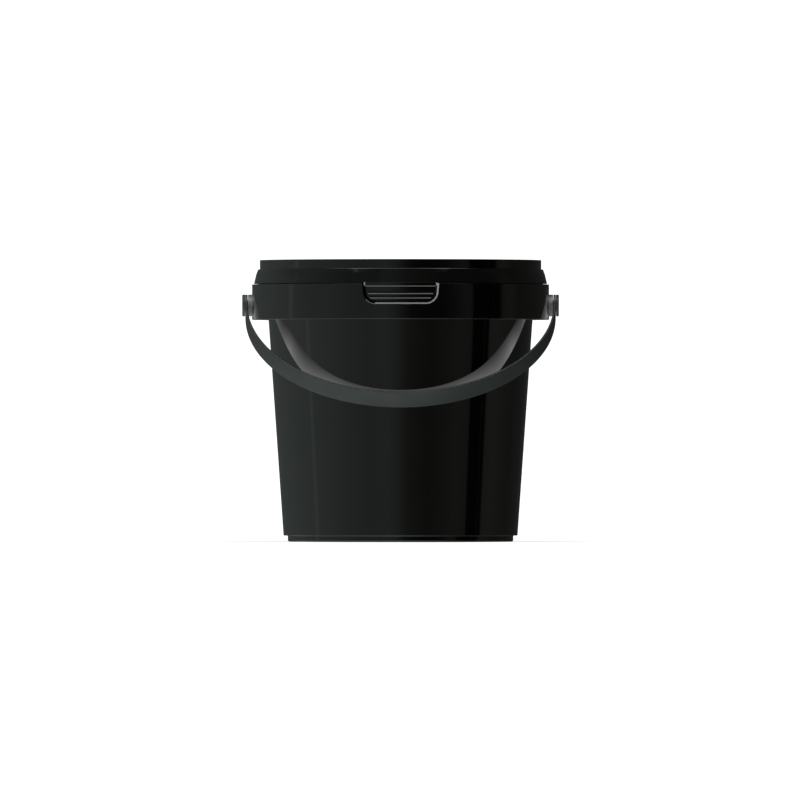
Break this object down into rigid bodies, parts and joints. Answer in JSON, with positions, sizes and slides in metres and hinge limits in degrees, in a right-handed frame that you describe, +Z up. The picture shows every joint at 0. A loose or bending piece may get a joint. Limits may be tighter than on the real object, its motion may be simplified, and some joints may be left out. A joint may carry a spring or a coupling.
{
  "type": "florist bucket",
  "caption": "Small tapered round plastic pail with a collar, a press-on stacking lid with a lift tab, and a flat strap handle on press-in studs.",
  "frame": {"origin": "on the bucket's axis, at the flat surface that its ring foot stands on", "axes": "+Z up along the bucket's axis; the lid's tab and the hanging handle are at the front, towards -Y; the handle's ears are on the X axis"},
  "size_m": [0.1418, 0.133, 0.126],
  "materials": {
    "bucket_plastic": "glossy black moulded polypropylene",
    "lid_plastic": "glossy black moulded polypropylene",
    "handle_plastic": "fine matte black moulded polypropylene",
    "stud_plastic": "satin black moulded polypropylene"
  },
  "bodies": {
    "bucket": {"bucket": "bucket_plastic", "handle_stud_left": "stud_plastic", "handle_stud_right": "stud_plastic"},
    "lid": {"lid": "lid_plastic"},
    "tab": {"lid_pull_tab": "lid_plastic"},
    "handle": {"handle": "handle_plastic"}
  },
  "joints": [
    {"name": "handle_swing", "type": "hinge", "parent": "bucket", "child": "handle", "pos_m": [0, 0, 0.1057], "axis": [-1, 0, 0], "range_deg": [0, 249]},
    {"name": "lid_lift", "type": "slide", "parent": "bucket", "child": "lid", "axis": [0, 0, 1], "range_m": [0, 0.03]},
    {"name": "tab_lift", "type": "hinge", "parent": "lid", "child": "tab", "pos_m": [0, -0.06605, 0.1141], "axis": [-1, 0, 0], "range_deg": [0, 100], "stiffness_Nm_per_rad": 0.0005}
  ]
}
